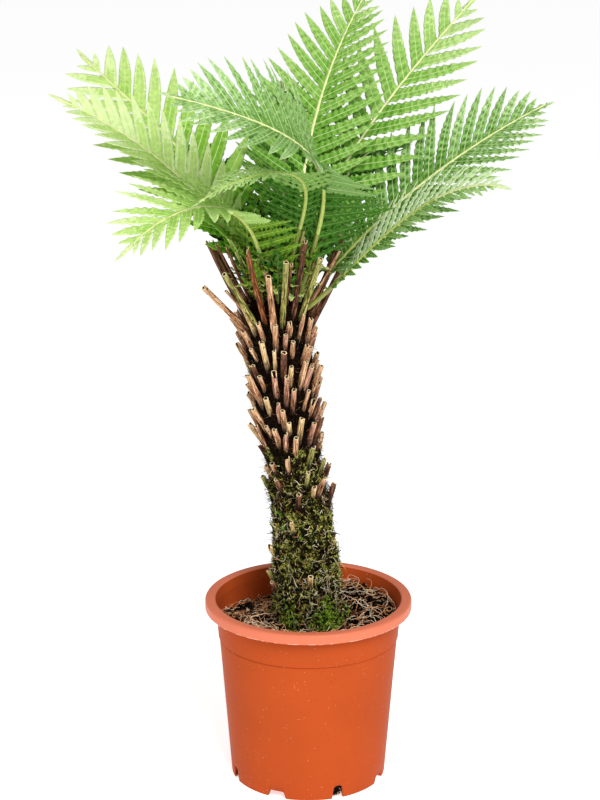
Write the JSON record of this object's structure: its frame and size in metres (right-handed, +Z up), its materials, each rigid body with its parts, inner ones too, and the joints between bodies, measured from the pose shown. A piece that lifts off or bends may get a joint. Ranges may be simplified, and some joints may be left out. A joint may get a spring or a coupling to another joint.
{
  "type": "potted silver lady tree fern",
  "caption": "Young silver lady tree fern: leaning fibrous trunk with cut stalks, feathery arching fronds, in a round nursery pot filled with soil.",
  "frame": {"origin": "centre of the pot's flat underside, on the ground", "axes": "+Z up along the pot's axis, -Y towards the viewer of the picture, +X to the viewer's right"},
  "size_m": [0.4863, 0.4689, 0.7938],
  "materials": {
    "pot": "semi-matt terracotta-coloured plastic with fine speckles",
    "soil": "dark peat compost with tan roots",
    "trunk": "dark fibrous trunk with pale cut stalks and moss",
    "fronds": "soft satin green leaflets on a pale rib"
  },
  "bodies": {
    "root": {"pot": "pot", "soil": "soil", "trunk": "trunk", "frond_left_upper": "fronds", "frond_left_middle": "fronds", "frond_left_lower": "fronds", "frond_left_lower_tip": "fronds", "frond_centre_left": "fronds", "frond_centre_left_tip": "fronds", "frond_top_middle": "fronds", "frond_top_right": "fronds", "frond_right_upper": "fronds", "frond_right_lower": "fronds", "frond_front": "fronds", "frond_front_tip": "fronds", "frond_back_middle": "fronds", "frond_back_right": "fronds", "frond_back_left": "fronds"}
  },
  "joints": []
}
